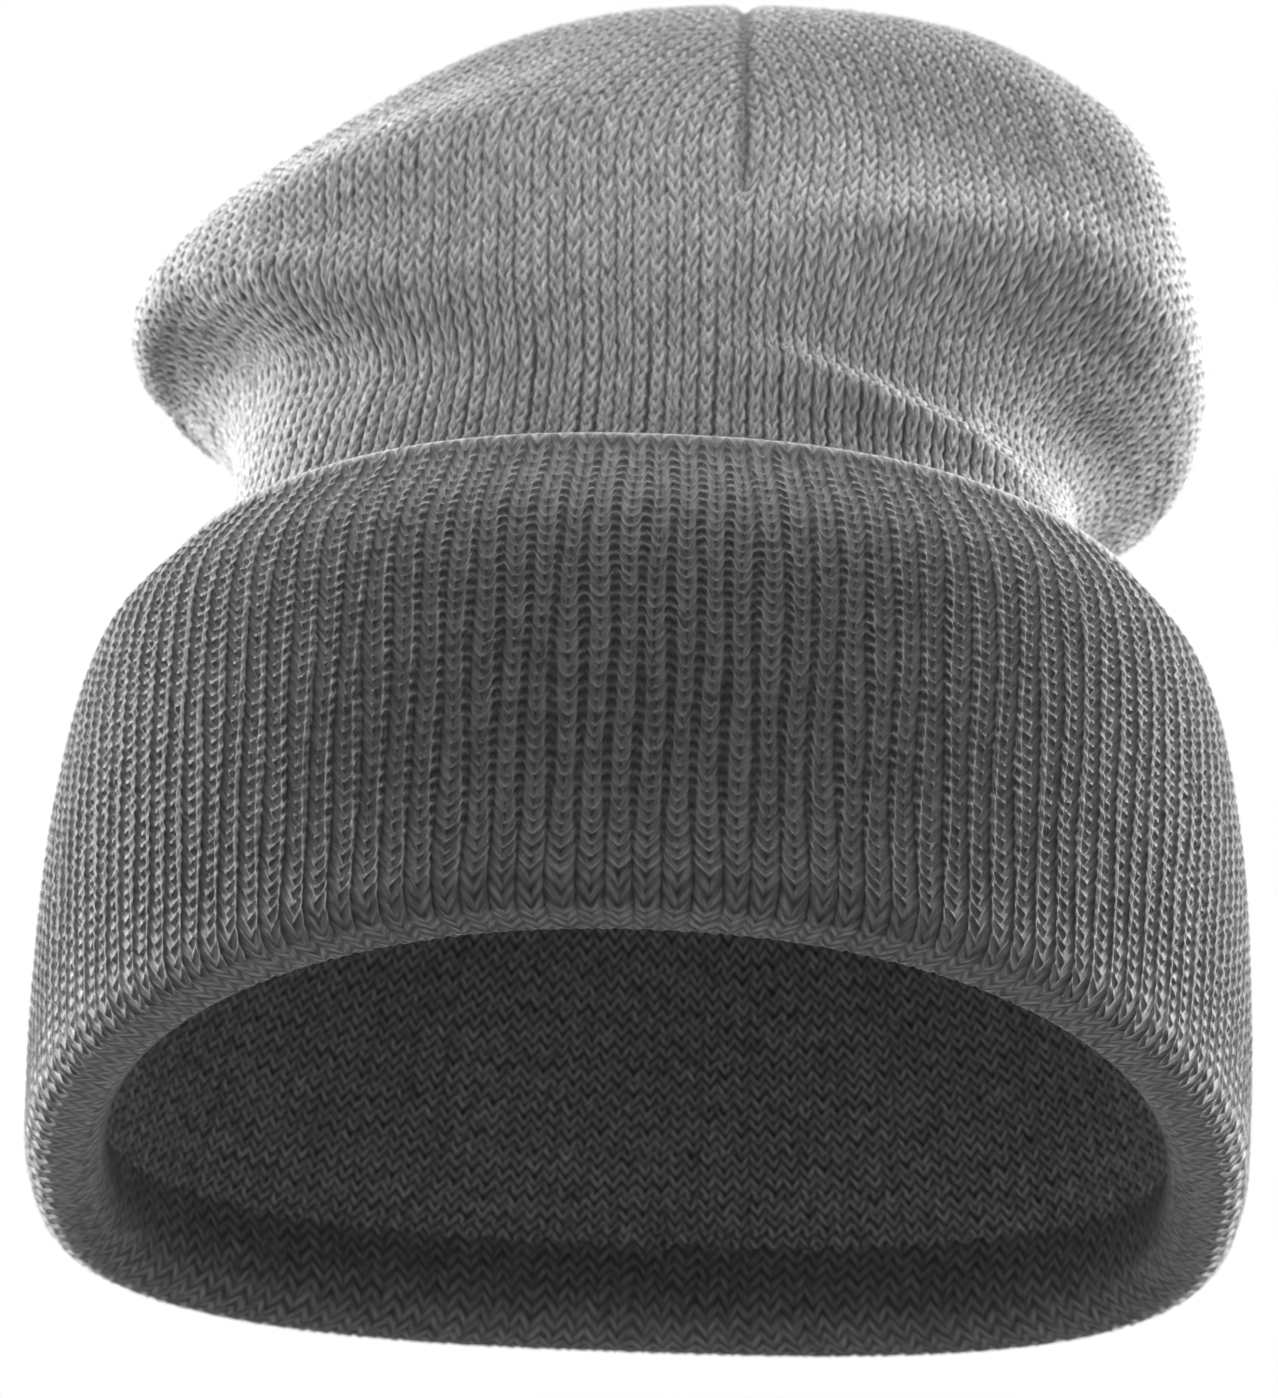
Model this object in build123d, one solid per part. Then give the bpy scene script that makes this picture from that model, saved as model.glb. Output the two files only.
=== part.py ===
from build123d import *
from math import cos, pi, sin
import os

# Double-layer ribbed knit beanie, in millimetres, standing on its turned-up cuff.
# The origin is the centre of the head opening, in the plane of the cuff's bottom fold.
# +Z points up to the crown, -Y to the front and +X to the right, seen from the front.

PLY = 2.2                 # thickness of one layer of knit
GAP = 0.25                # air between neighbouring layers, and between stacked pieces
LINING_GAP = 0.5          # air between the hat's two plies
STEP = PLY + GAP          # from the outside of one layer to the outside of the next

# Each inset is measured inwards from the outside of the head tube's outer ply.
CUFF_OUTSIDE = -2 * STEP  # outside of the cuff's outer ply
CUFF_MIDDLE = -STEP       # outside of the cuff's inner ply
TUBE_OUTSIDE = 0.0        # outside of the hat's outer ply
LINING_OUTSIDE = PLY + LINING_GAP  # outside of the hat's inner ply
OPENING = LINING_OUTSIDE + PLY     # wall of the space for the head

FOLD_BULGE = 2.8          # how far the soft bottom fold swells into the opening
FOLD_ROUND = 4.5          # how far the bottom fold is rounded under on each side
FOLD_SHARE = 0.3          # share of the rounding left at FOLD_LOW
FOLD_LOW = 2.0
FOLD_HIGH = 6.2
FOLD_TOP = 8.0            # the separate plies start above the fold
EDGE_SAG = 6.0            # how far the cuff's free edge sags at its sides

# Planes across the hat: height at the hat's axis, and lean in degrees with the front up.
CUFF_EDGE = (99.4, -8.0)
NECK_TOP = (121.0, -5.0)
DART_FOOT = (141.0, 3.0)

SEAM_SLOT = 1.8           # width of the slot between two gores
THREAD = 1.2              # width and depth of the dart seam thread
TACK_R = 1.6              # thread knot that ties the two crowns together at the apex
TACK_HEAD_R = 3.2
TACK_HEAD = 1.0
TACK_HOLE_R = 2.2
SEAM_END_R = 4.5          # the seams stop this far from the apex

RING_POINTS = 24
FAR = 400.0               # larger than the hat, for cutting blocks
HALF_WIDTH = 110.0        # a little more than half the hat's width, for the arch over the cuff's edge

# Outside of the hat's outer ply from the rim to the apex. Each row is one level:
# centre x, y, z; half width, front depth, back depth; lean in degrees; roundness of the front
# and of the back; droop of the left and right sides; share of an inset that goes down and not inwards.
LEVELS = [
    (0.0, 34.0, 0.0, 95.0, 127.0, 58.0, 0.0, 2.1, 2.9, 0.0, 0.0, 0.0),
    (0.0, 24.0, 26.0, 95.0, 113.0, 66.0, -2.0, 2.2, 2.6, 0.0, 0.0, 0.0),
    (0.0, 12.0, 56.0, 93.0, 97.0, 73.0, -4.0, 2.2, 2.4, 0.0, 0.0, 0.0),
    (0.0, 2.0, 82.0, 87.0, 81.0, 75.0, -7.0, 2.2, 2.3, 0.0, 0.0, 0.0),
    (0.0, -2.0, 100.0, 74.0, 67.0, 71.0, -8.0, 2.2, 2.2, 0.0, 0.0, 0.0),
    (-1.0, -2.0, 118.0, 71.0, 61.0, 66.0, -5.0, 2.2, 2.2, -5.0, 3.0, 0.0),
    (0.0, 1.0, 136.0, 83.0, 62.0, 62.0, 0.0, 2.2, 2.2, -5.0, 10.0, 0.0),
    (2.0, 5.0, 157.0, 91.0, 57.0, 58.0, 8.0, 2.3, 2.3, 6.0, 16.0, 0.2),
    (12.0, 10.0, 180.0, 76.0, 48.0, 50.0, 14.0, 2.4, 2.4, 8.0, 8.0, 0.5),
    (18.0, 16.0, 199.0, 57.0, 35.0, 36.0, 17.0, 2.4, 2.4, 4.0, 2.0, 0.8),
    (16.0, 20.0, 206.0, 43.0, 22.0, 22.0, 18.0, 2.3, 2.3, 1.0, 0.0, 0.9),
    (12.0, 22.0, 209.0, 18.0, 9.0, 9.0, 18.0, 2.0, 2.0, 0.0, 0.0, 0.7),
]
APEX_X, APEX_Y, APEX_Z = LEVELS[-1][:3]
APEX_LEAN = LEVELS[-1][6]
APEX_DEPTH = OPENING * LEVELS[-1][-1]  # both plies together, where the knot goes through
LOWER = LEVELS[:5]        # the cuff and the tube inside it
UPPER = LEVELS[4:]        # the neck and the crown


def signed_power(value, exponent):
    return abs(value) ** exponent * (1 if value >= 0 else -1)


def leaning_plane(x, y, z, lean):
    """A plane through a point, with its front raised by the lean."""
    return Plane((x, y, z), x_dir=(1, 0, 0), z_dir=(0, sin(lean * pi / 180), cos(lean * pi / 180)))


def ring(level, inset, lift=0.0):
    """The closed outline of one level, moved inwards by the inset and raised by the lift."""
    x, y, z, half_width, front, back, lean, round_front, round_back, droop_left, droop_right, down = level
    inward = inset * (1 - down)
    points = []
    for k in range(RING_POINTS):
        angle = 2 * pi * k / RING_POINTS
        depth = (front if cos(angle) > 0 else back) - inward
        roundness = round_front if cos(angle) > 0 else round_back
        droop = droop_right if sin(angle) > 0 else droop_left
        points.append(Vector(
            (half_width - inward) * signed_power(sin(angle), 2 / roundness),
            -depth * signed_power(cos(angle), 2 / roundness),
            -inset * down - droop * abs(sin(angle)) ** 3,
        ))
    outline = Edge.make_spline(points, periodic=True, parameters=range(RING_POINTS + 1))
    return leaning_plane(x, y, z + lift, lean) * Wire([outline])


def form(levels, inset):
    """The solid inside one surface of the hat, over some of its levels."""
    return Solid.make_loft([ring(level, inset) for level in levels])


def above(cut, offset=0.0):
    """Everything above one of the planes across the hat."""
    block = Box(FAR, FAR, FAR, align=(Align.CENTER, Align.CENTER, Align.MIN))
    return leaning_plane(0, 0, cut[0] + offset, cut[1]) * block


def below(cut, offset=0.0):
    """Everything below one of the planes across the hat."""
    block = Box(FAR, FAR, FAR, align=(Align.CENTER, Align.CENTER, Align.MAX))
    return leaning_plane(0, 0, cut[0] + offset, cut[1]) * block


def floor_at(height):
    return (height, 0.0)


def below_edge(offset=0.0):
    """Everything below the cuff's free edge, which sags at its sides."""
    low = offset - EDGE_SAG
    top = ThreePointArc((-HALF_WIDTH, low), (0, offset), (HALF_WIDTH, low))
    rest = Polyline((HALF_WIDTH, low), (HALF_WIDTH, -FAR), (-HALF_WIDTH, -FAR), (-HALF_WIDTH, low))
    height, lean = CUFF_EDGE
    return leaning_plane(0, 0, height, lean) * Rot(90, 0, 0) * extrude(make_face(top + rest), FAR, both=True)


def write(name, shape):
    """Writes one node as a single solid."""
    solid = shape.solids().sort_by(SortBy.VOLUME)[-1]
    solid.label = name
    export_step(solid, f"parts/{name}.step")


def fold_form(inset, rounding):
    """A short form for the bottom fold, turned under at its foot by the rounding."""
    return Solid.make_loft([
        ring(LEVELS[0], inset + rounding),
        ring(LEVELS[0], inset + rounding * FOLD_SHARE, FOLD_LOW),
        ring(LEVELS[0], inset, FOLD_HIGH),
        ring(LEVELS[0], inset, FOLD_TOP),
    ])


def build_fold():
    """The rolled lower edge, where the cuff's plies turn back into the hat's plies."""
    write("bottom_fold", fold_form(CUFF_OUTSIDE, FOLD_ROUND) - fold_form(OPENING + FOLD_BULGE, -FOLD_ROUND))


def build_cuff():
    """The two plies of the turned-up cuff. The outer one turns over the inner one at the free edge."""
    foot = above(floor_at(FOLD_TOP + GAP))
    tube_space = form(LOWER, TUBE_OUTSIDE - GAP)
    outer = form(LOWER, CUFF_OUTSIDE) & foot & below_edge()
    outer -= form(LOWER, CUFF_OUTSIDE + PLY) & below_edge(-PLY)
    write("cuff_outer_ply", outer - tube_space)
    inner = form(LOWER, CUFF_MIDDLE) - tube_space
    write("cuff_inner_ply", inner & foot & below_edge(-STEP))


def build_ply(name, inset):
    """One ply of the hat's body, in the three lengths that move on their own."""
    lower = form(LOWER, inset) - form(LOWER, inset + PLY)
    write(f"tube_{name}_ply", lower & above(floor_at(FOLD_TOP + GAP)) & below(CUFF_EDGE))
    upper = form(UPPER, inset) - form(UPPER, inset + PLY)
    write(f"neck_{name}_ply", upper & below(NECK_TOP))
    write(f"band_{name}_ply", upper & above(NECK_TOP, GAP) & below(DART_FOOT))


def apex_cylinder(radius, height):
    """A cylinder through the apex, along the direction the crown's tip faces."""
    return leaning_plane(APEX_X, APEX_Y, APEX_Z, APEX_LEAN) * Cylinder(radius, height)


def build_crown(name, inset):
    """One ply of the crown: four gores, and the thread in the dart seam between each two."""
    crown = (form(UPPER, inset) - form(UPPER, inset + PLY)) & above(DART_FOOT, GAP)
    crown -= apex_cylinder(TACK_HOLE_R, FAR / 4)
    for side, x_sign in (("left", -1), ("right", 1)):
        for end, y_sign in (("front", -1), ("back", 1)):
            corner = Pos(
                APEX_X + x_sign * (FAR + SEAM_SLOT) / 2,
                APEX_Y + y_sign * (FAR + SEAM_SLOT) / 2,
                0,
            )
            write(f"gore_{name}_{end}_{side}", crown & (corner * Box(FAR, FAR, 2 * FAR)))

    recess = (PLY - THREAD) / 2
    seams = form(UPPER, inset + recess) - form(UPPER, inset + PLY - recess)
    seams &= above(DART_FOOT, 2 * GAP)
    seams -= apex_cylinder(SEAM_END_R, FAR / 4)
    runs = {
        "front": (0, -1),
        "back": (0, 1),
        "left": (-1, 0),
        "right": (1, 0),
    }
    for side, (x_way, y_way) in runs.items():
        strip = Box(FAR if x_way else THREAD, FAR if y_way else THREAD, 2 * FAR)
        start = Pos(APEX_X + x_way * FAR / 2, APEX_Y + y_way * FAR / 2, 0)
        write(f"seam_{name}_{side}", seams & (start * strip))


def build_tack():
    """The knot through both crowns, with a small head outside and inside."""
    seat = leaning_plane(APEX_X, APEX_Y, APEX_Z, APEX_LEAN)
    shank = APEX_DEPTH + 2 * GAP + 2 * TACK_HEAD
    align_up = (Align.CENTER, Align.CENTER, Align.MIN)
    align_down = (Align.CENTER, Align.CENTER, Align.MAX)
    knot = Pos(0, 0, GAP + TACK_HEAD) * Cylinder(TACK_R, shank, align=align_down)
    knot += Pos(0, 0, GAP) * Cylinder(TACK_HEAD_R, TACK_HEAD, align=align_up)
    knot += Pos(0, 0, -APEX_DEPTH - GAP) * Cylinder(TACK_HEAD_R, TACK_HEAD, align=align_down)
    write("apex_tack", seat * knot)


os.makedirs("parts", exist_ok=True)

build_fold()
build_cuff()
for ply_name, ply_inset in (("outer", TUBE_OUTSIDE), ("inner", LINING_OUTSIDE)):
    build_ply(ply_name, ply_inset)
    build_crown(ply_name, ply_inset)
build_tack()
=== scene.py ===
from math import cos, pi, radians, sin
import bpy
import numpy as np
from mathutils import Matrix, Vector


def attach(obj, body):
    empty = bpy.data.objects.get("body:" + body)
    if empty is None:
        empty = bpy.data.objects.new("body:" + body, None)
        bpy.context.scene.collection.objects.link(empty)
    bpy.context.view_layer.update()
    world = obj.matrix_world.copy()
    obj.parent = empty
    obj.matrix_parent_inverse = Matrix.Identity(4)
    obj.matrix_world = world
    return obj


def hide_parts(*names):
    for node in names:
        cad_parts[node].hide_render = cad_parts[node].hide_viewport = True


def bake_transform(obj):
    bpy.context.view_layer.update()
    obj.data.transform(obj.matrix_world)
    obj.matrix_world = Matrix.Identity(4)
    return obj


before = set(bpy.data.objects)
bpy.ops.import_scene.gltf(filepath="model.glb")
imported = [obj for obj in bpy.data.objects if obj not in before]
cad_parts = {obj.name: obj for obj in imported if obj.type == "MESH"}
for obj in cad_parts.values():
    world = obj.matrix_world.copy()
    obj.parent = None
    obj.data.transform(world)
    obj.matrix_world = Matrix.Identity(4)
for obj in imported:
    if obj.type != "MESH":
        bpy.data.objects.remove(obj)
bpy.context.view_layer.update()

# A double-layer rib-knit beanie. Every surface of knit is a fine grid laid over the hat's form,
# raised stitch by stitch. Lengths are in millimetres until a mesh is made.

MM = 0.001
DETAIL = 1.0

# The form of the hat, level by level from the rim to the apex, outside the hat's outer ply:
# centre x, y, z; half width, front depth, back depth; lean in degrees; roundness of the front
# and of the back; droop of the left and right sides; share of an inset that goes down and not inwards.
LEVELS = np.array([
    (0.0, 34.0, 0.0, 95.0, 127.0, 58.0, 0.0, 2.1, 2.9, 0.0, 0.0, 0.0),
    (0.0, 24.0, 26.0, 95.0, 113.0, 66.0, -2.0, 2.2, 2.6, 0.0, 0.0, 0.0),
    (0.0, 12.0, 56.0, 93.0, 97.0, 73.0, -4.0, 2.2, 2.4, 0.0, 0.0, 0.0),
    (0.0, 2.0, 82.0, 87.0, 81.0, 75.0, -7.0, 2.2, 2.3, 0.0, 0.0, 0.0),
    (0.0, -2.0, 100.0, 74.0, 67.0, 71.0, -8.0, 2.2, 2.2, 0.0, 0.0, 0.0),
    (-1.0, -2.0, 118.0, 71.0, 61.0, 66.0, -5.0, 2.2, 2.2, -5.0, 3.0, 0.0),
    (0.0, 1.0, 136.0, 83.0, 62.0, 62.0, 0.0, 2.2, 2.2, -5.0, 10.0, 0.0),
    (2.0, 5.0, 157.0, 91.0, 57.0, 58.0, 8.0, 2.3, 2.3, 6.0, 16.0, 0.2),
    (12.0, 10.0, 180.0, 76.0, 48.0, 50.0, 14.0, 2.4, 2.4, 8.0, 8.0, 0.5),
    (18.0, 16.0, 199.0, 57.0, 35.0, 36.0, 17.0, 2.4, 2.4, 4.0, 2.0, 0.8),
    (16.0, 20.0, 206.0, 43.0, 22.0, 22.0, 18.0, 2.3, 2.3, 1.0, 0.0, 0.9),
    (12.0, 22.0, 209.0, 18.0, 9.0, 9.0, 18.0, 2.0, 2.0, 0.0, 0.0, 0.7),
    (12.0, 22.0, 209.5, 0.6, 0.6, 0.6, 18.0, 2.0, 2.0, 0.0, 0.0, 1.0),
])
EDGE_LEVEL = 3.95        # the cuff's free edge
EDGE_SAG = 0.30          # how many levels the free edge sags at its sides
EDGE_R = 2.0             # radius of the roll at the free edge
EDGE_TUCK = 0.35         # how many levels the rolled edge reaches down behind the cuff
EDGE_RELIEF = 0.50       # the free edge is a soft roll, almost smooth; this value also sets the painted shade of its colour, kept low to tone down the edge's bright line
EVEN_LEVEL = 0.4         # below this the cuff's rows are level and its ribs evenly spread
DART_LEVEL = 6.15        # the dart seams start here
LAST_LEVEL = len(LEVELS) - 1

CUFF_OUT = -4.9          # insets of the surfaces that show
LINING_IN = 4.65
FOLD_IN = 7.45           # the bottom fold swells into the opening
FOLD_R = (FOLD_IN - CUFF_OUT) / 2
FOLD_LEVEL = 0.24        # where the cuff starts to turn under
FOLD_TOP_LEVEL = 0.8     # where the cuff's knit ends, inside the opening
FOLD_TUCK = 0.6          # how far that end is hidden behind the lining

RIBS = 150               # knit wales around the cuff
RIB_PITCH = 4.1          # width of a wale on the cuff
COURSE = 2.5             # height of one row of stitches
FRONT_STRETCH = 0.16     # up the cuff, how much its ribs spread at the front and close at the back
CUFF_CELL = (13, 7)      # grid columns in a wale and grid rows in a course
CUFF_SINK = 0.55         # how far the foot of the cuff's relief lies under the form

NECK_LEVEL = 4.45        # the knit is cut here and at the crown
CROWN_LEVEL = 6.4
KNIT_SINK = 0.4          # how far the foot of the relief lies under the form, above the cuff
PROFILE_POINTS = 400

# The hat's two plies above the cuff: the level that the knit starts at, the inset of the surface that
# shows, knit wales around the hat, height of a course, how high the stitches rise, how open the ribs
# are at two levels, and whether the surface faces inwards.
SHELL = {
    "foot": 3.6,
    "inset": 0.0,
    "cell": (8, 6),
    "wales": 172,
    "course": COURSE,
    "rise": 1.0,
    "openness": ([4.0, 6.0], [0.7, 0.4]),
    "flip": False,
}
LINING = {
    "foot": 0.6,
    "inset": LINING_IN,
    "cell": (7, 6),
    "wales": 216,
    "course": 2.0,
    "rise": 0.9,
    "openness": ([4.0, 6.0], [0.0, 0.0]),
    "flip": True,
}

FILL_BELOW = 0.40        # strength of the room's light from below and from above
FILL_ABOVE = 0.46
FRONT_FILL = 0.68        # share of it that is left straight in front

SEAM_X = 12.0            # the front and back darts lie in this plane
SEAM_Y = 22.0            # the side darts lie in this one
SEAM_FLAT = 0.7          # share of the relief that a dart seam takes away, and how far that reaches
SEAM_FLAT_REACH = 1.1
SEAM_DEPTH = 1.0         # depth of the groove at a dart seam, and how far it reaches
SEAM_REACH = 1.6
NO_SEAM = 12             # added to the distance from a seam below the foot of the darts


# ---------------------------------------------------------------- the form

def level_values(level):
    """The table's values at levels between its rows, by a smooth curve through the rows."""
    level = np.clip(np.asarray(level, float), 0, LAST_LEVEL)
    low = np.minimum(level.astype(int), LAST_LEVEL - 1)
    f = (level - low)[..., None]
    rows = np.vstack([2 * LEVELS[0] - LEVELS[1], LEVELS, 2 * LEVELS[-1] - LEVELS[-2]])
    a, b, c, d = rows[low], rows[low + 1], rows[low + 2], rows[low + 3]
    return b + 0.5 * f * (c - a + f * (2 * a - 5 * b + 4 * c - d + f * (3 * (b - c) + d - a)))


def signed_power(value, exponent):
    return np.sign(value) * np.abs(value) ** exponent


def form(level, angle, inset, drop=0.0):
    """Points of the hat's form. Angle 0 is the front and a quarter turn is +X."""
    values = level_values(level)
    x, y, z, width, front, back, lean, round_front, round_back, droop_left, droop_right, down = (
        np.moveaxis(values, -1, 0)
    )
    s, c = np.sin(angle), np.cos(angle)
    inward = inset * (1 - down)
    depth = np.where(c > 0, front, back) - inward
    roundness = np.where(c > 0, round_front, round_back)
    px = (width - inward) * signed_power(s, 2 / roundness)
    py = -depth * signed_power(c, 2 / roundness)
    pz = -inset * down - np.where(s > 0, droop_right, droop_left) * np.abs(s) ** 3
    tilt = np.radians(lean)
    return np.stack([
        x + px,
        y + py * np.cos(tilt) + pz * np.sin(tilt),
        z - py * np.sin(tilt) + pz * np.cos(tilt) - drop,
    ], axis=-1)


def lengths(points, axis):
    """Distance travelled along one axis of a grid of points."""
    step = np.linalg.norm(np.diff(points, axis=axis), axis=-1)
    first = np.zeros_like(np.take(step, [0], axis=axis))
    return np.concatenate([first, np.cumsum(step, axis=axis)], axis=axis)


def smoothstep(low, high, value):
    t = np.clip((value - low) / (high - low), 0, 1)
    return t * t * (3 - 2 * t)


# ---------------------------------------------------------------- the knit

def hashed(a, b, seed):
    """A repeatable random number from 0 to 1 for each pair of whole numbers."""
    value = np.sin(a * 12.9898 + b * 78.233 + seed * 37.719) * 43758.5453
    return value - np.floor(value)


def rib_relief(col, row, openness):
    """Height of a 1x1 rib, from 0 in the gaps to 1 on the wales.

    col counts knit wales and row counts courses upwards. The yarn rises outwards from the spine
    of each wale, and in an open rib it goes on as a purl arc across the valley."""
    wale = np.round(col)
    g = np.abs(col - wale)
    side = np.sign(col - wale)
    end = 0.47 - 0.20 * openness
    t = np.clip(g / end, 0, 1)
    beyond = np.clip((g - end) / (0.5 - end), 0, 1)
    rise = 0.95 * t + 0.25 * openness * (1 - (1 - beyond) ** 2)
    phase = row - rise + 0.35 * hashed(wale, 0, 1) + 0.10 * hashed(wale, side, 5)
    stitch = np.round(phase)
    phase = phase + 0.20 * (hashed(wale, stitch, 2) - 0.5)
    yarn = 0.5 + 0.5 * np.cos(2 * pi * phase)
    size = 0.80 + 0.20 * hashed(wale + 0.3 * side, stitch, 3)
    across = np.sqrt(np.clip(1 - ((g / end - 0.52) / 0.66) ** 2, 0, 1))
    between = 0.06 + 0.06 * openness + (0.08 + 0.52 * openness) * t
    knit = across * (between + (1 - between) * yarn ** 0.8 * size)
    arc = 0.35 + 0.65 * hashed(wale + 0.5 * side, stitch, 4)
    purl = 0.03 + (0.08 + 0.20 * openness) * yarn ** 1.2 * arc
    return np.maximum(knit, purl)


# ---------------------------------------------------------------- meshes

def grid_object(name, points, relief, stitch, material):
    """A closed band of quads from rows of points, with a texture layout and its material's attributes.

    relief is the height of the knit from 0 to 1, which the knit material also turns into painted shade and
    highlight, and stitch is the wale, the course and the openness."""
    rows, cols = relief.shape
    mesh = bpy.data.meshes.new(name)
    mesh.vertices.add(rows * cols)
    mesh.vertices.foreach_set("co", (points * MM).astype(np.float32).ravel())
    r, c = np.meshgrid(np.arange(rows - 1), np.arange(cols), indexing="ij")
    right = (c + 1) % cols
    corners = np.stack([
        r * cols + c,
        r * cols + right,
        (r + 1) * cols + right,
        (r + 1) * cols + c,
    ], axis=-1)
    count = corners.shape[0] * corners.shape[1]
    mesh.loops.add(count * 4)
    mesh.loops.foreach_set("vertex_index", corners.astype(np.int32).ravel())
    mesh.polygons.add(count)
    mesh.polygons.foreach_set("loop_start", np.arange(0, count * 4, 4, dtype=np.int32))
    mesh.polygons.foreach_set("use_smooth", np.ones(count, dtype=bool))
    mesh.update(calc_edges=True)
    across = np.stack([c, c + 1, c + 1, c], axis=-1) / cols
    up = np.stack([r, r, r + 1, r + 1], axis=-1) / (rows - 1)
    layout = mesh.uv_layers.new(name="OFBake")
    layout.data.foreach_set("uv", np.stack([across, up], axis=-1).astype(np.float32).ravel())
    heights = mesh.attributes.new("relief", "FLOAT", "POINT")
    heights.data.foreach_set("value", relief.astype(np.float32).ravel())
    place = mesh.attributes.new("stitch", "FLOAT_VECTOR", "POINT")
    place.data.foreach_set("vector", stitch.astype(np.float32).ravel())
    obj = bpy.data.objects.new(name, mesh)
    bpy.context.scene.collection.objects.link(obj)
    mesh.materials.append(material)
    return obj


def normals(points, flip):
    """Unit normals of a closed band of points, pointing out of the hat unless flipped."""
    around = np.roll(points, -1, axis=1) - np.roll(points, 1, axis=1)
    along = np.gradient(points, axis=0)
    n = np.cross(around, along)
    n /= np.maximum(np.linalg.norm(n, axis=-1, keepdims=True), 1e-9)
    return -n if flip else n


def even_angles(level, inset, drop, cols):
    """For each row, angles spaced by distance around the form, wider at the front high on the cuff."""
    angle = np.linspace(0, 2 * pi, 721)
    out = np.empty((len(level), cols))
    share = np.arange(cols) / cols
    stretch = FRONT_STRETCH * smoothstep(EVEN_LEVEL, 4.0, level)
    for k in range(len(level)):
        ring = form(np.full_like(angle, level[k]), angle, inset[k], drop[k])
        step = np.diff(lengths(ring, 0)) * (1 - stretch[k] * np.cos(angle[1:]))
        travelled = np.concatenate([[0], np.cumsum(step)])
        out[k] = np.interp(share * travelled[-1], travelled, angle)
    return out


def spaced_path(levels, insets, drops, spacing):
    """Resamples a profile at even distances, averaged around the hat."""
    angles = np.linspace(0, 2 * pi, 24, endpoint=False)
    points = form(levels[:, None], angles[None, :], insets[:, None], drops[:, None])
    travelled = lengths(points, 0).mean(axis=1)
    count = int(travelled[-1] / spacing) + 1
    at = np.linspace(0, travelled[-1], count)
    return [np.interp(at, travelled, v) for v in (levels, insets, drops)] + [at]


def cuff_profile():
    """Levels, insets, drops and distances along the cuff, from behind its free edge to inside the opening."""
    over = np.linspace(pi, 0, 9)[:-1]
    under = np.linspace(0, pi, 24)[1:-1]
    wall = np.linspace(EDGE_LEVEL, FOLD_LEVEL, 240)
    inside = np.linspace(0, 1, 18)
    levels = np.concatenate([
        [EDGE_LEVEL - EDGE_TUCK],
        np.full(len(over), EDGE_LEVEL),
        wall,
        np.full(len(under), FOLD_LEVEL),
        np.linspace(FOLD_LEVEL, FOLD_TOP_LEVEL, len(inside)),
    ])
    insets = np.concatenate([
        [CUFF_OUT + 2 * EDGE_R],
        CUFF_OUT + EDGE_R - EDGE_R * np.cos(over),
        np.full(len(wall), CUFF_OUT),
        CUFF_OUT + FOLD_R - FOLD_R * np.cos(under),
        FOLD_IN + (LINING_IN - FOLD_TUCK - FOLD_IN) * smoothstep(0, 1, inside),
    ])
    drops = np.concatenate([
        [0],
        -EDGE_R * np.sin(over),
        np.zeros(len(wall)),
        FOLD_R * np.sin(under),
        np.zeros(len(inside)),
    ])
    return spaced_path(levels, insets, drops, COURSE / (CUFF_CELL[1] * DETAIL))


def cuff_openness(to_fold, from_edge):
    """The ribs are pulled open along the cuff, and close up at its free edge and inside the opening."""
    along = 0.35 + 0.65 * smoothstep(-4, 22, to_fold)
    return along * smoothstep(0.5, 5.0, from_edge) * smoothstep(-16, -4, to_fold)


def build_cuff(material):
    """The cuff: over its free edge, down the outside, under the bottom fold and a little way up inside."""
    levels, insets, drops, at = cuff_profile()
    cols = int(RIBS * CUFF_CELL[0] * DETAIL)
    angle = even_angles(levels, insets, drops, cols)
    sag = EDGE_SAG * smoothstep(EVEN_LEVEL, EDGE_LEVEL, levels)[:, None] * np.abs(np.sin(angle)) ** 3
    base = form(levels[:, None] - sag, angle, insets[:, None], drops[:, None])
    out = normals(base, False)

    col = np.broadcast_to(np.arange(cols) / cols * RIBS, angle.shape)
    row = np.broadcast_to((at / COURSE)[:, None], angle.shape)
    wander = 0.05 * np.sin(row * 0.31 + 3.1 * np.sin(col * 0.9)) + 0.04 * np.sin(row * 0.13 + col * 1.7)
    to_fold = at[np.argmax(drops > 0.02)] - at
    from_edge = at - at[np.argmin(drops)]
    openness = np.broadcast_to(cuff_openness(to_fold, from_edge)[:, None], angle.shape)

    relief = rib_relief(col + wander, -row, openness)
    ribbed = smoothstep(0.4, 4.6, from_edge)[:, None]
    stretched = smoothstep(-18, 4, to_fold)[:, None]
    # The relief also sets the knit's painted shade; at the free edge it eases towards EDGE_RELIEF.
    relief = EDGE_RELIEF + (relief - EDGE_RELIEF) * (0.25 + 0.75 * ribbed) * (0.72 + 0.28 * stretched)
    height = (0.6 + 0.8 * openness) * (0.35 + 0.65 * ribbed)
    points = base + out * (relief * height - CUFF_SINK)[..., None]
    points[..., 2] = np.maximum(points[..., 2], 0)   # the bottom fold is flat where it rests
    stitch = np.stack([col + wander, -row, openness], axis=-1)
    return grid_object("cuff_knit", points, relief, stitch, material)


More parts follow.
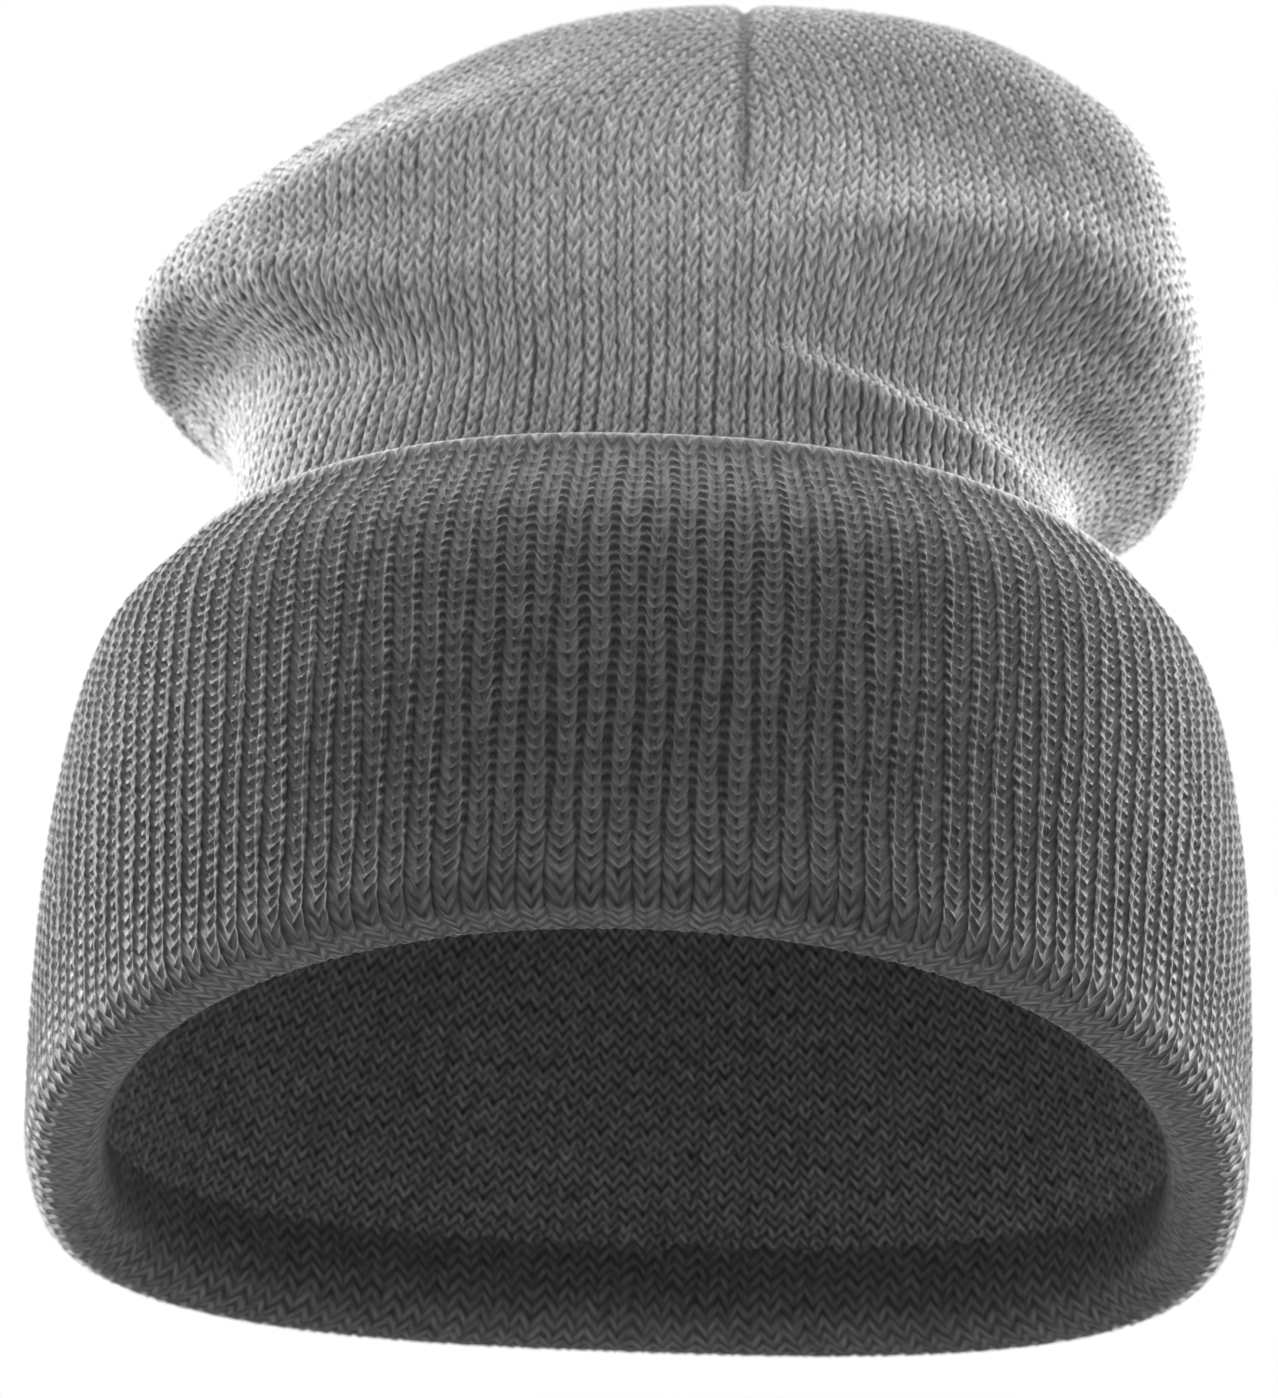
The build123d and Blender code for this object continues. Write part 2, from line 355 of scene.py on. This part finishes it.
def build_lengths(ply, knit, material):
    """The tube, neck and crown of one ply, made as one grid and divided at the cuts."""
    course = knit["course"]
    inset = knit["inset"]
    flip = knit["flip"]
    per_wale, per_course = knit["cell"]
    cuts = [knit["foot"], NECK_LEVEL, CROWN_LEVEL, LAST_LEVEL]
    levels, insets, drops, at = spaced_path(
        np.linspace(cuts[0], cuts[-1], PROFILE_POINTS),
        np.full(PROFILE_POINTS, inset),
        np.zeros(PROFILE_POINTS),
        course / (per_course * DETAIL),
    )
    cols = int(knit["wales"] * per_wale * DETAIL) // 4 * 4
    angle, col = crown_columns(levels, insets, drops, cols, knit["wales"])
    base = form(levels[:, None], angle, insets[:, None], drops[:, None])
    if not flip:
        base = base + folds(levels[:, None], angle)[..., None] * normals(base, False)
    out = normals(base, flip)

    row = np.broadcast_to((at / course)[:, None], angle.shape)
    openness = np.interp(levels, *knit["openness"])[:, None] * np.ones_like(col)
    seam = seam_distance(base, levels)
    relief = rib_relief(col, row, openness)
    relief = relief * (1 - SEAM_FLAT * np.exp(-(seam / SEAM_FLAT_REACH) ** 2))
    close = smoothstep(LAST_LEVEL, LAST_LEVEL - 0.8, levels)[:, None]
    groove = SEAM_DEPTH * np.exp(-(seam / SEAM_REACH) ** 2)
    points = base + out * ((relief * knit["rise"] - KNIT_SINK) * close - groove)[..., None]
    stitch = np.stack([col, row, openness], axis=-1)

    rows = [int(np.argmin(np.abs(levels - cut))) for cut in cuts]
    pieces = []
    for name, low, high in zip(("tube", "neck", "crown"), rows[:-1], rows[1:]):
        span = slice(low, high + 1)
        pieces.append(grid_object(f"{name}_{ply}_knit", points[span], relief[span], stitch[span], material))
    return pieces


def seam_angles(level):
    """Angles of the front, right, back and left seams at one level."""
    fine = np.linspace(-pi, pi, 1441)
    ring = form(np.full_like(fine, level), fine, 0.0)
    on_x = np.abs(ring[:, 0] - SEAM_X)
    on_y = np.abs(ring[:, 1] - SEAM_Y)
    front = np.where(np.abs(fine) < 1.3, on_x, 1e9)
    back = np.where(np.abs(fine) > 1.8, on_x, 1e9)
    right = np.where((fine > 0.3) & (fine < 2.9), on_y, 1e9)
    left = np.where((fine < -0.3) & (fine > -2.9), on_y, 1e9)
    picks = [fine[np.argmin(d)] for d in (front, right, back, left)]
    picks = [p % (2 * pi) if k else p for k, p in enumerate(picks)]
    return np.array(picks)


def quarter_runs(level, inset, drop):
    """The four stretches between the seams at one level: their angles and the distances along them."""
    fine = np.linspace(0, 1, 241)
    seams = seam_angles(level)
    ends = np.append(seams, seams[0] + 2 * pi)
    runs = []
    for k in range(4):
        run = ends[k] + fine * (ends[k + 1] - ends[k])
        travelled = lengths(form(np.full_like(run, level), run, inset, drop), 0)
        runs.append((run, travelled))
    return runs


def crown_columns(levels, insets, drops, cols, wales):
    """Angles and wale numbers of a grid whose wales run straight up and are cut off at the seams."""
    quarter = cols // 4
    angle = np.empty((len(levels), cols))
    col = np.empty((len(levels), cols))
    share = np.arange(quarter) / quarter
    at_foot = quarter_runs(DART_LEVEL, insets[0], drops[0])
    total = sum(t[-1] for _, t in at_foot)
    pitch = total / wales
    first = np.cumsum([0] + [t[-1] for _, t in at_foot])[:4]
    middle = [first[k] + at_foot[k][1][-1] / 2 for k in range(4)]
    for i in range(len(levels)):
        here = quarter_runs(levels[i], insets[i], drops[i])
        below_foot = levels[i] < DART_LEVEL
        for k, (run, travelled) in enumerate(here):
            cells = slice(k * quarter, (k + 1) * quarter)
            angle[i, cells] = np.interp(share * travelled[-1], travelled, run)
            across = (share - 0.5) * travelled[-1]
            if below_foot:
                across = (share - 0.5) * at_foot[k][1][-1]
            col[i, cells] = (middle[k] + across) / pitch
    return angle, col


def seam_distance(base, levels):
    """Distance from each point to the nearest dart seam, large below the foot of the darts."""
    near = np.minimum(np.abs(base[..., 0] - SEAM_X), np.abs(base[..., 1] - SEAM_Y))
    return near + NO_SEAM * smoothstep(DART_LEVEL + 0.25, DART_LEVEL - 0.1, levels)[:, None]


LEVEL_HEIGHT = 18.0      # height of a level on the crown, for laying out its folds
DEGREE_WIDTH = 1.4       # width of a degree around it
FOLD_DEPTH = 1.45        # strength of all the crown's folds


def ridge(level, angle, start, end, width, height):
    """A soft fold between two places on the form, each a level and an angle in degrees."""
    ax, ay = start[0] * LEVEL_HEIGHT, start[1] * DEGREE_WIDTH
    bx, by = end[0] * LEVEL_HEIGHT, end[1] * DEGREE_WIDTH
    turned = (np.degrees(angle) + 180) % 360 - 180
    px, py = level * LEVEL_HEIGHT - ax, turned * DEGREE_WIDTH - ay
    dx, dy = bx - ax, by - ay
    squared = dx * dx + dy * dy
    t = np.clip((px * dx + py * dy) / squared, 0, 1)
    off = np.hypot(px - t * dx, py - t * dy)
    fade = np.sin(pi * np.clip(0.12 + 0.76 * t, 0, 1))
    return height * fade * np.exp(-(off / width) ** 2)


# Folds where the crown slouches. Each goes from one level and angle in degrees to another; then come
# its width and its height, which is negative for a hollow.
FOLDS = [
    ((6.45, -95), (6.05, -52), 8.0, 3.2),
    ((6.0, -60), (5.55, -30), 7.0, 2.6),
    ((5.6, -34), (5.4, -4), 6.5, 1.6),
    ((5.75, -90), (5.2, -48), 8.0, -3.4),
    ((5.2, -54), (5.0, -26), 6.5, -2.0),
    ((5.9, 8), (6.25, 32), 7.0, 2.6),
    ((6.2, 28), (6.75, 68), 8.0, 3.2),
    ((5.6, 22), (6.1, 60), 8.0, -2.6),
    ((5.2, 52), (5.9, 92), 8.0, -2.4),
    ((5.05, 8), (4.6, 32), 5.0, 2.2),
    ((4.66, 28), (4.15, 62), 5.5, 2.4),
    ((5.35, 6), (4.95, 38), 5.0, -1.4),
    ((7.0, -60), (7.6, -15), 12.0, -2.2),
    ((6.7, -50), (7.2, -10), 8.0, 1.4),
    ((6.9, 12), (7.6, 40), 12.0, -2.2),
    ((7.3, 45), (8.3, 70), 12.0, 1.8),
    ((6.3, 100), (6.5, 150), 10.0, 2.5),
    ((6.2, 200), (6.5, 250), 10.0, 2.5),
    ((7.2, 120), (7.6, 230), 12.0, -2.0),
]


def folds(level, angle):
    """The slouch folds of the crown, in millimetres out of the form."""
    level = np.broadcast_to(level, angle.shape)
    total = np.zeros(angle.shape)
    for start, end, width, height in FOLDS:
        total += ridge(level, angle, start, end, width, FOLD_DEPTH * height)
    return total * smoothstep(4.2, 4.7, level) * smoothstep(LAST_LEVEL - 0.5, LAST_LEVEL - 3, level)


# ---------------------------------------------------------------- materials

def node_tools(tree):
    """Two functions that add to a node tree: any node, and the result of a maths node."""
    tree.nodes.clear()

    def make(kind, inputs=None, **settings):
        node = tree.nodes.new(kind)
        for key, value in settings.items():
            setattr(node, key, value)
        for key, value in (inputs or {}).items():
            if isinstance(value, bpy.types.NodeSocket):
                tree.links.new(value, node.inputs[key])
            else:
                node.inputs[key].default_value = value
        return node

    def math(operation, *values):
        return make("ShaderNodeMath", dict(enumerate(values)), operation=operation).outputs[0]

    return make, math


def knit_material(name, dark, light, fuzz):
    """Heathered wool: hair-fine streaks along each leg of a stitch, painted shade in the gaps, a painted
    highlight on the raised legs and a soft sheen.
    """
    material = bpy.data.materials.new(name)
    material.use_nodes = True
    make, math = node_tools(material.node_tree)

    def noise(vector, scale, detail):
        settings = {"Vector": vector, "Scale": scale, "Detail": detail, "Roughness": 0.6}
        return make("ShaderNodeTexNoise", settings).outputs["Fac"]

    def spread(value, low, high, to_low, to_high):
        settings = {"Value": value, "From Min": low, "From Max": high, "To Min": to_low, "To Max": to_high}
        return make("ShaderNodeMapRange", settings).outputs["Result"]

    place = make("ShaderNodeTexCoord").outputs["Object"]
    relief = make("ShaderNodeAttribute", attribute_name="relief").outputs["Fac"]
    stitch = make("ShaderNodeAttribute", attribute_name="stitch").outputs["Vector"]
    split = make("ShaderNodeSeparateXYZ", {0: stitch})
    col, row = split.outputs["X"], split.outputs["Y"]
    wale = math("ROUND", col)
    off = math("SUBTRACT", col, wale)
    side = math("SIGN", off)

    # Each leg of a stitch climbs outwards from its wale, so the streaks lean with it, and each side of
    # each wale has its own.
    out = math("MULTIPLY", math("ABSOLUTE", off), RIB_PITCH)
    up = math("MULTIPLY", row, COURSE)
    across = math("MULTIPLY_ADD", out, 0.9, math("MULTIPLY", up, -0.42))
    along_yarn = math("MULTIPLY_ADD", out, 0.42, math("MULTIPLY", up, 0.9))
    streak_x = math("MULTIPLY", across, 2.0)
    streak_y = math("MULTIPLY", along_yarn, 0.33)
    streak_z = math("MULTIPLY_ADD", wale, 3.7, math("MULTIPLY", side, 1.3))
    along = make("ShaderNodeCombineXYZ", {0: streak_x, 1: streak_y, 2: streak_z}).outputs[0]
    streaks = noise(along, 1.0, 2.0)

    fluff = noise(place, 1500.0, 2.0)
    heather = noise(place, 420.0, 3.0)
    broad = noise(place, 22.0, 3.0)
    fibres = math("MULTIPLY_ADD", streaks, 0.86, math("MULTIPLY", fluff, 0.14))
    grain = math("MULTIPLY_ADD", heather, 0.2, math("MULTIPLY", fibres, 0.8))
    tone = spread(grain, 0.36, 0.64, 0.0, 1.0)
    base = make("ShaderNodeMix", {0: tone, 6: (*dark, 1), 7: (*light, 1)}, data_type="RGBA")
    # Painted shade and highlight: the colour is darkened in the gaps between stitches and lightened on the
    # raised legs by the knit's relief. It then varies at random in broad patches.
    painted_shade_and_highlight = spread(relief, 0.08, 0.98, 0.18, 1.5)
    shade = math("MULTIPLY", painted_shade_and_highlight, spread(broad, 0.3, 0.7, 0.93, 1.07))
    shaded = make("ShaderNodeVectorMath", {0: base.outputs[2], "Scale": shade}, operation="SCALE")
    bump = make("ShaderNodeBump", {"Height": fibres, "Strength": 0.6, "Distance": 0.0005}).outputs[0]
    surface = make("ShaderNodeBsdfPrincipled", {
        "Base Color": shaded.outputs[0],
        "Roughness": 0.95,
        "Specular IOR Level": 0.15,
        "Sheen Weight": fuzz,
        "Sheen Roughness": 0.35,
        "Normal": bump,
    }).outputs[0]
    make("ShaderNodeOutputMaterial", {"Surface": surface})
    return material


# ---------------------------------------------------------------- stage, light and camera

FLOOR_SIZE = 3.0
FLOOR_DROP = 0.0006      # keeps the floor just clear of the hat
CLEAR_HALF_WIDTH = 0.090   # half width and half depth of the clear patch inside the opening
CLEAR_HALF_DEPTH = 0.078


def build_floor():
    """A pale floor, clear from below and inside the hat's opening so that the low camera sees past it.

    Light that bounces off the hat goes through it too."""
    bpy.ops.mesh.primitive_grid_add(
        x_subdivisions=4, y_subdivisions=4, size=FLOOR_SIZE, location=(0, 0, -FLOOR_DROP)
    )
    floor = bpy.context.object
    floor.name = "floor"
    material = bpy.data.materials.new("floor_paint")
    material.use_nodes = True
    make, math = node_tools(material.node_tree)
    geometry = make("ShaderNodeNewGeometry")
    place = make("ShaderNodeSeparateXYZ", {0: geometry.outputs["Position"]})
    x = math("DIVIDE", place.outputs["X"], CLEAR_HALF_WIDTH)
    y = math("DIVIDE", place.outputs["Y"], CLEAR_HALF_DEPTH)
    reach = math("MULTIPLY_ADD", y, y, math("MULTIPLY", x, x))
    inside = math("LESS_THAN", reach, 1.0)
    below = math("MAXIMUM", inside, geometry.outputs["Backfacing"])
    bounce = make("ShaderNodeLightPath").outputs["Is Diffuse Ray"]
    clear = math("MAXIMUM", below, bounce)
    grain = make("ShaderNodeTexNoise", {"Scale": 30.0, "Detail": 4.0}).outputs["Fac"]
    tint = make("ShaderNodeMapRange", {"Value": grain, "To Min": 0.80, "To Max": 0.83}).outputs["Result"]
    colour = make("ShaderNodeCombineColor", {0: tint, 1: tint, 2: tint})
    paint = make("ShaderNodeBsdfPrincipled", {"Base Color": colour.outputs[0], "Roughness": 0.8})
    see_through = make("ShaderNodeBsdfTransparent")
    mix = make("ShaderNodeMixShader", {0: clear, 1: paint.outputs[0], 2: see_through.outputs[0]})
    make("ShaderNodeOutputMaterial", {"Surface": mix.outputs[0]})
    floor.data.materials.append(material)


def place_light(name, data, place, aim):
    """Puts a light in its place and points it at its aim."""
    light = bpy.data.objects.new(name, data)
    light.location = place
    light.rotation_euler = (Vector(aim) - Vector(place)).to_track_quat("-Z", "Y").to_euler()
    bpy.context.scene.collection.objects.link(light)
    return light


def area_light(name, place, aim, size, power):
    """A soft rectangular light."""
    data = bpy.data.lights.new(name, "AREA")
    data.shape = "RECTANGLE"
    data.size, data.size_y = size
    data.energy = power
    place_light(name, data, place, aim).visible_camera = False


def spot_light(name, place, aim, cone, power, scale):
    """A soft pool of light with no hard edge, wider or flatter by its scale."""
    data = bpy.data.lights.new(name, "SPOT")
    data.energy = power
    data.spot_size = radians(cone)
    data.spot_blend = 1.0
    data.shadow_soft_size = 0.06
    place_light(name, data, place, aim).scale = scale


def build_world():
    """A white room to the camera. As light it is dimmer, and dimmer still from the front and below."""
    world = bpy.data.worlds.new("studio")
    bpy.context.scene.world = world
    world.use_nodes = True
    make, math = node_tools(world.node_tree)
    path = make("ShaderNodeLightPath")
    heading = make("ShaderNodeSeparateXYZ", {0: make("ShaderNodeTexCoord").outputs["Generated"]})
    fill = make("ShaderNodeMapRange", {
        "Value": heading.outputs["Z"],
        "From Min": -0.7,
        "From Max": 0.7,
        "To Min": FILL_BELOW,
        "To Max": FILL_ABOVE,
    }).outputs["Result"]
    from_front = make("ShaderNodeMapRange", {
        "Value": heading.outputs["Y"],
        "From Min": -0.8,
        "From Max": 0.3,
        "To Min": FRONT_FILL,
        "To Max": 1.0,
    }).outputs["Result"]
    white = (1, 1, 1, 1)
    seen = make("ShaderNodeBackground", {"Color": white, "Strength": 1.0}).outputs[0]
    soft = make("ShaderNodeBackground", {"Color": white, "Strength": math("MULTIPLY", fill, from_front)})
    mix = make("ShaderNodeMixShader", {0: path.outputs["Is Camera Ray"], 1: soft.outputs[0], 2: seen})
    make("ShaderNodeOutputWorld", {"Surface": mix.outputs[0]})


def build_lights():
    """Four soft boxes around the hat, and a flat pool of light on the front of its neck."""
    centre = (0, 0, 0.1)
    area_light("top_softbox", (0, 0.1, 1.0), centre, (1.2, 0.9), 17.0)
    area_light("left_softbox", (-0.95, 0.42, 0.40), centre, (0.8, 1.0), 66.0)
    area_light("right_softbox", (0.95, 0.42, 0.40), centre, (0.8, 1.0), 66.0)
    area_light("back_softbox", (0, 1.1, 0.5), centre, (1.4, 0.8), 12.0)
    neck = (0, -0.05, 0.148)
    spot_light("neck_spot", (0, -0.9, 0.10), neck, 9.0, 66.0, (1.9, 0.55, 1.0))


def build_camera():
    """A low camera in front of the hat, looking up under its rim."""
    distance = 0.900
    elevation = radians(-27.0)
    roll = radians(2.0)
    target = Vector((-0.0022, -0.0008, 0.0815))
    back = Vector((0, -cos(elevation), sin(elevation)))
    data = bpy.data.cameras.new("camera")
    data.sensor_fit = "AUTO"
    data.sensor_width = 36.0
    data.lens = 139.06
    data.dof.use_dof = True
    focus = bpy.data.objects.new("focus", None)
    focus.location = (0, -0.090, 0.045)
    bpy.context.scene.collection.objects.link(focus)
    data.dof.focus_object = focus
    data.dof.aperture_fstop = 36.0
    camera = bpy.data.objects.new("camera", data)
    place = Matrix.Translation(target + back * distance)
    turn = (-back).to_track_quat("-Z", "Y").to_matrix().to_4x4()
    camera.matrix_world = place @ turn @ Matrix.Rotation(roll, 4, "Z")
    bpy.context.scene.collection.objects.link(camera)
    bpy.context.scene.camera = camera


# ---------------------------------------------------------------- the hat


def build_hat():
    """Every piece of knit, with the cuff attached to the body it moves with, and the CAD solids that the knit
    stands for hidden.
    """
    shell = knit_material("shell_knit", (0.135, 0.135, 0.137), (0.35, 0.35, 0.355), 0.5)
    # The lining's colours are lighter than the shell's: painted light, making up for the dim light inside the
    # hat.
    lining = knit_material("lining_knit", (0.16, 0.16, 0.163), (0.54, 0.54, 0.546), 0.2)

    cuff = build_cuff(shell)
    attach(cuff, "cuff")
    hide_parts("cuff_outer_ply", "cuff_inner_ply", "bottom_fold")

    outer = build_lengths("shell", SHELL, shell)
    inner = build_lengths("lining", LINING, lining)
    for ply, (tube, neck, crown) in (("outer", outer), ("inner", inner)):
        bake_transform(tube)
        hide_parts(f"tube_{ply}_ply")
        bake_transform(neck)
        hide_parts(f"neck_{ply}_ply", f"band_{ply}_ply")
        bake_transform(crown)
        sewn = [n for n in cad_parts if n.startswith((f"gore_{ply}", f"seam_{ply}"))]
        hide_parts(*sewn)
    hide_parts("apex_tack")


bpy.context.scene.view_settings.view_transform = "Standard"
build_hat()
build_floor()
build_world()
build_lights()
build_camera()
